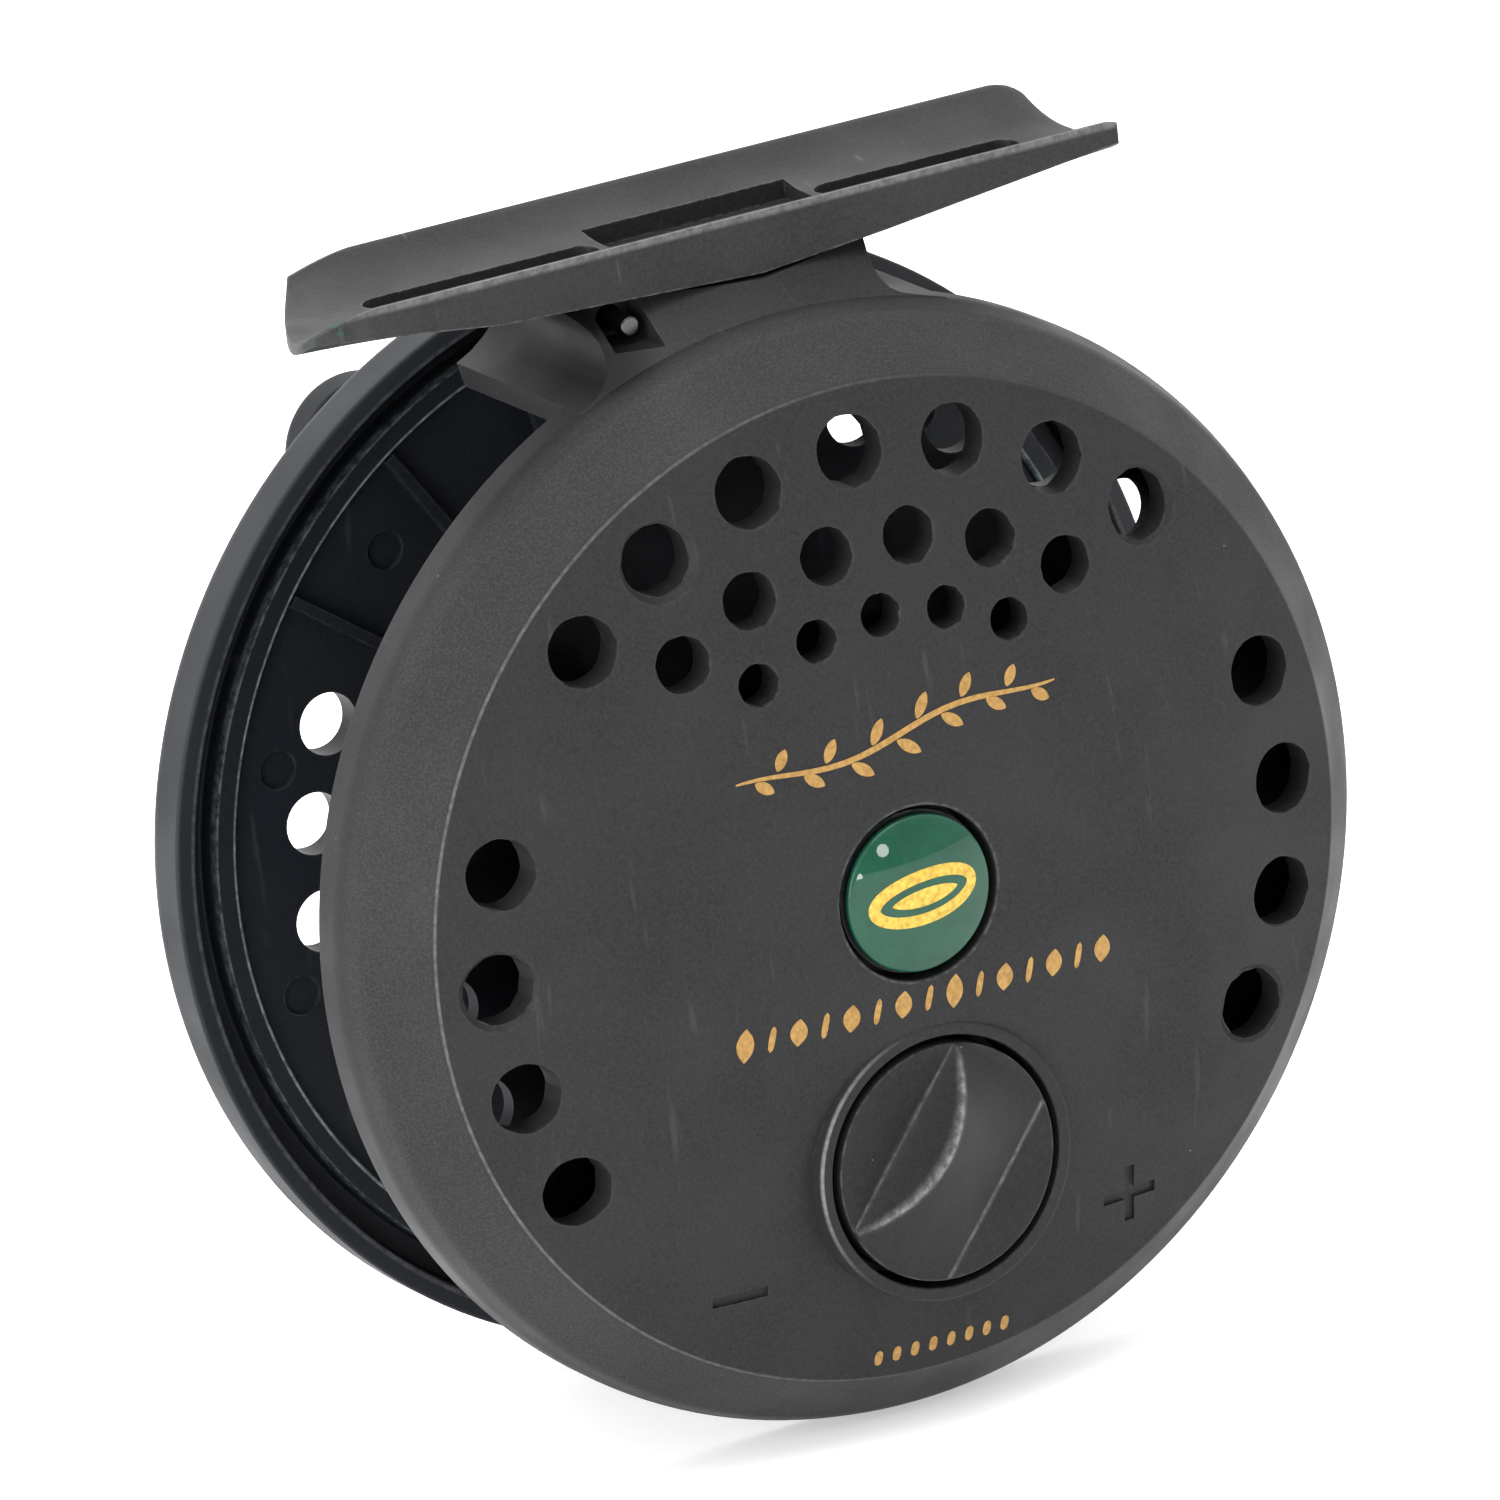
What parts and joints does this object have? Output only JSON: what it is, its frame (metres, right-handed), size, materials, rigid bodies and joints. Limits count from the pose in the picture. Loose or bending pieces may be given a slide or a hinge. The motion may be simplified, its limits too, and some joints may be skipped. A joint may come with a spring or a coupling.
{
  "type": "fly reel",
  "caption": "Fly fishing reel with a moulded perforated frame, saddle foot, offset drag knob, palming-rim spool, click pawl, spool latch and turning handle.",
  "frame": {"origin": "middle of the foot's saddle, on its lowest line", "axes": "+X along the foot, +Y along the reel's axis towards the handle, +Z from the reel towards the rod"},
  "size_m": [0.08, 0.0595, 0.0865],
  "materials": {
    "graphite": "moulded graphite composite, matt with a fine grain",
    "graphite_dark": "moulded graphite composite, satin",
    "knob_graphite": "moulded, matt",
    "steel": "turned",
    "spring_steel": "drawn wire and stamped strip",
    "brass": "turned",
    "acetal": "moulded",
    "cork": "pressed cork",
    "badge_green": "domed glossy resin",
    "handle_black": "satin"
  },
  "bodies": {
    "frame": {"frame": "graphite", "reel_foot": "graphite", "foot_pin_1": "steel", "foot_pin_2": "steel", "spindle": "steel", "spindle_nut": "steel", "badge_seat": "graphite_dark", "badge": "badge_green", "pawl_post": "steel", "pawl_clip": "spring_steel", "pawl_spring": "spring_steel", "knob_washer": "spring_steel"},
    "drive": {"drag_disc": "brass", "ratchet_ring": "steel", "drive_bushing": "acetal"},
    "spool": {"spool": "graphite_dark", "spool_bushing": "acetal", "counterweight": "graphite_dark", "handle_post": "steel", "latch_cap": "handle_black", "latch_spring": "spring_steel"},
    "latch": {"latch_plate": "steel"},
    "handle": {"handle_knob": "handle_black"},
    "knob": {"drag_knob": "knob_graphite", "knob_shaft": "brass", "knob_clip": "spring_steel"},
    "shoe": {"drag_shoe": "steel", "drag_pad": "cork"},
    "pawl": {"click_pawl": "steel"}
  },
  "joints": [
    {"name": "drive_spin", "type": "hinge", "parent": "frame", "child": "drive", "pos_m": [0.003, -0.0105, -0.0444], "axis": [0, 1, 0], "continuous": true},
    {"name": "spool_pull", "type": "slide", "parent": "drive", "child": "spool", "axis": [0, 1, 0], "range_m": [0, 0.03]},
    {"name": "latch_slide", "type": "slide", "parent": "spool", "child": "latch", "axis": [-1, 0, 0], "range_m": [0, 0.0014], "stiffness_N_per_m": 500, "springref_m": -0.002, "deforming": ["latch_spring"]},
    {"name": "handle_spin", "type": "hinge", "parent": "spool", "child": "handle", "pos_m": [0.01794, 0.0255, -0.06689], "axis": [0, 1, 0], "continuous": true},
    {"name": "knob_turn", "type": "hinge", "parent": "frame", "child": "knob", "pos_m": [0.003, -0.0165, -0.06405], "axis": [0, 1, 0], "range_deg": [-60, 60]},
    {"name": "shoe_lift", "type": "slide", "parent": "frame", "child": "shoe", "axis": [0, 0, 1], "range_m": [-0.00042, 0.00042]},
    {"name": "pawl_lift", "type": "hinge", "parent": "frame", "child": "pawl", "pos_m": [0.02076, -0.0122, -0.04484], "axis": [0, -1, 0], "range_deg": [0, 8], "stiffness_Nm_per_rad": 0.02, "springref_deg": -5.73, "deforming": ["pawl_spring"]}
  ],
  "couplings": [
    {"joint": "shoe_lift", "follows": "knob_turn", "m_per_rad": 0.000372}
  ]
}
